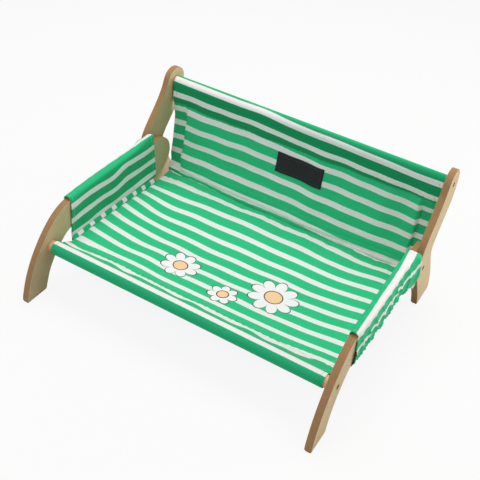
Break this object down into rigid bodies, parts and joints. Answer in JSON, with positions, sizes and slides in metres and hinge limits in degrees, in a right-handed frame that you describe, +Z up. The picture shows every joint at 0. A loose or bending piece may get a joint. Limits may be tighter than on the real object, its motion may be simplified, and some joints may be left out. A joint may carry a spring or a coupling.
{
  "type": "cat lounge chair",
  "caption": "Low lounge chair for a cat: shaped side boards with arms and a leaning back hold two rods and a striped fabric sling seat.",
  "frame": {"origin": "middle of the overall box, at floor level", "axes": "+X across the chair to its right-hand end, +Y to the back, +Z up"},
  "size_m": [0.5746, 0.4649, 0.2649],
  "materials": {
    "mdf_board": "bare tan fibreboard, smooth faces and darker cut edges",
    "beech_rod": "bare turned wood",
    "dark_steel_screw": "dark oxide",
    "dark_foot_pad": "matt",
    "striped_canvas": "green canvas with white stripes",
    "black_woven_label": "plain black woven tape"
  },
  "bodies": {
    "root": {"arm_board_left": "mdf_board", "back_board_left": "mdf_board", "front_screw_left": "dark_steel_screw", "joint_screw_left": "dark_steel_screw", "top_screw_left": "dark_steel_screw", "front_pad_left": "dark_foot_pad", "rear_pad_left": "dark_foot_pad", "arm_sleeve_left": "striped_canvas", "arm_board_right": "mdf_board", "back_board_right": "mdf_board", "front_screw_right": "dark_steel_screw", "joint_screw_right": "dark_steel_screw", "top_screw_right": "dark_steel_screw", "front_pad_right": "dark_foot_pad", "rear_pad_right": "dark_foot_pad", "arm_sleeve_right": "striped_canvas", "front_rod": "beech_rod", "top_rod": "beech_rod", "seat_panel": "striped_canvas", "back_panel": "striped_canvas", "label": "black_woven_label"}
  },
  "joints": []
}
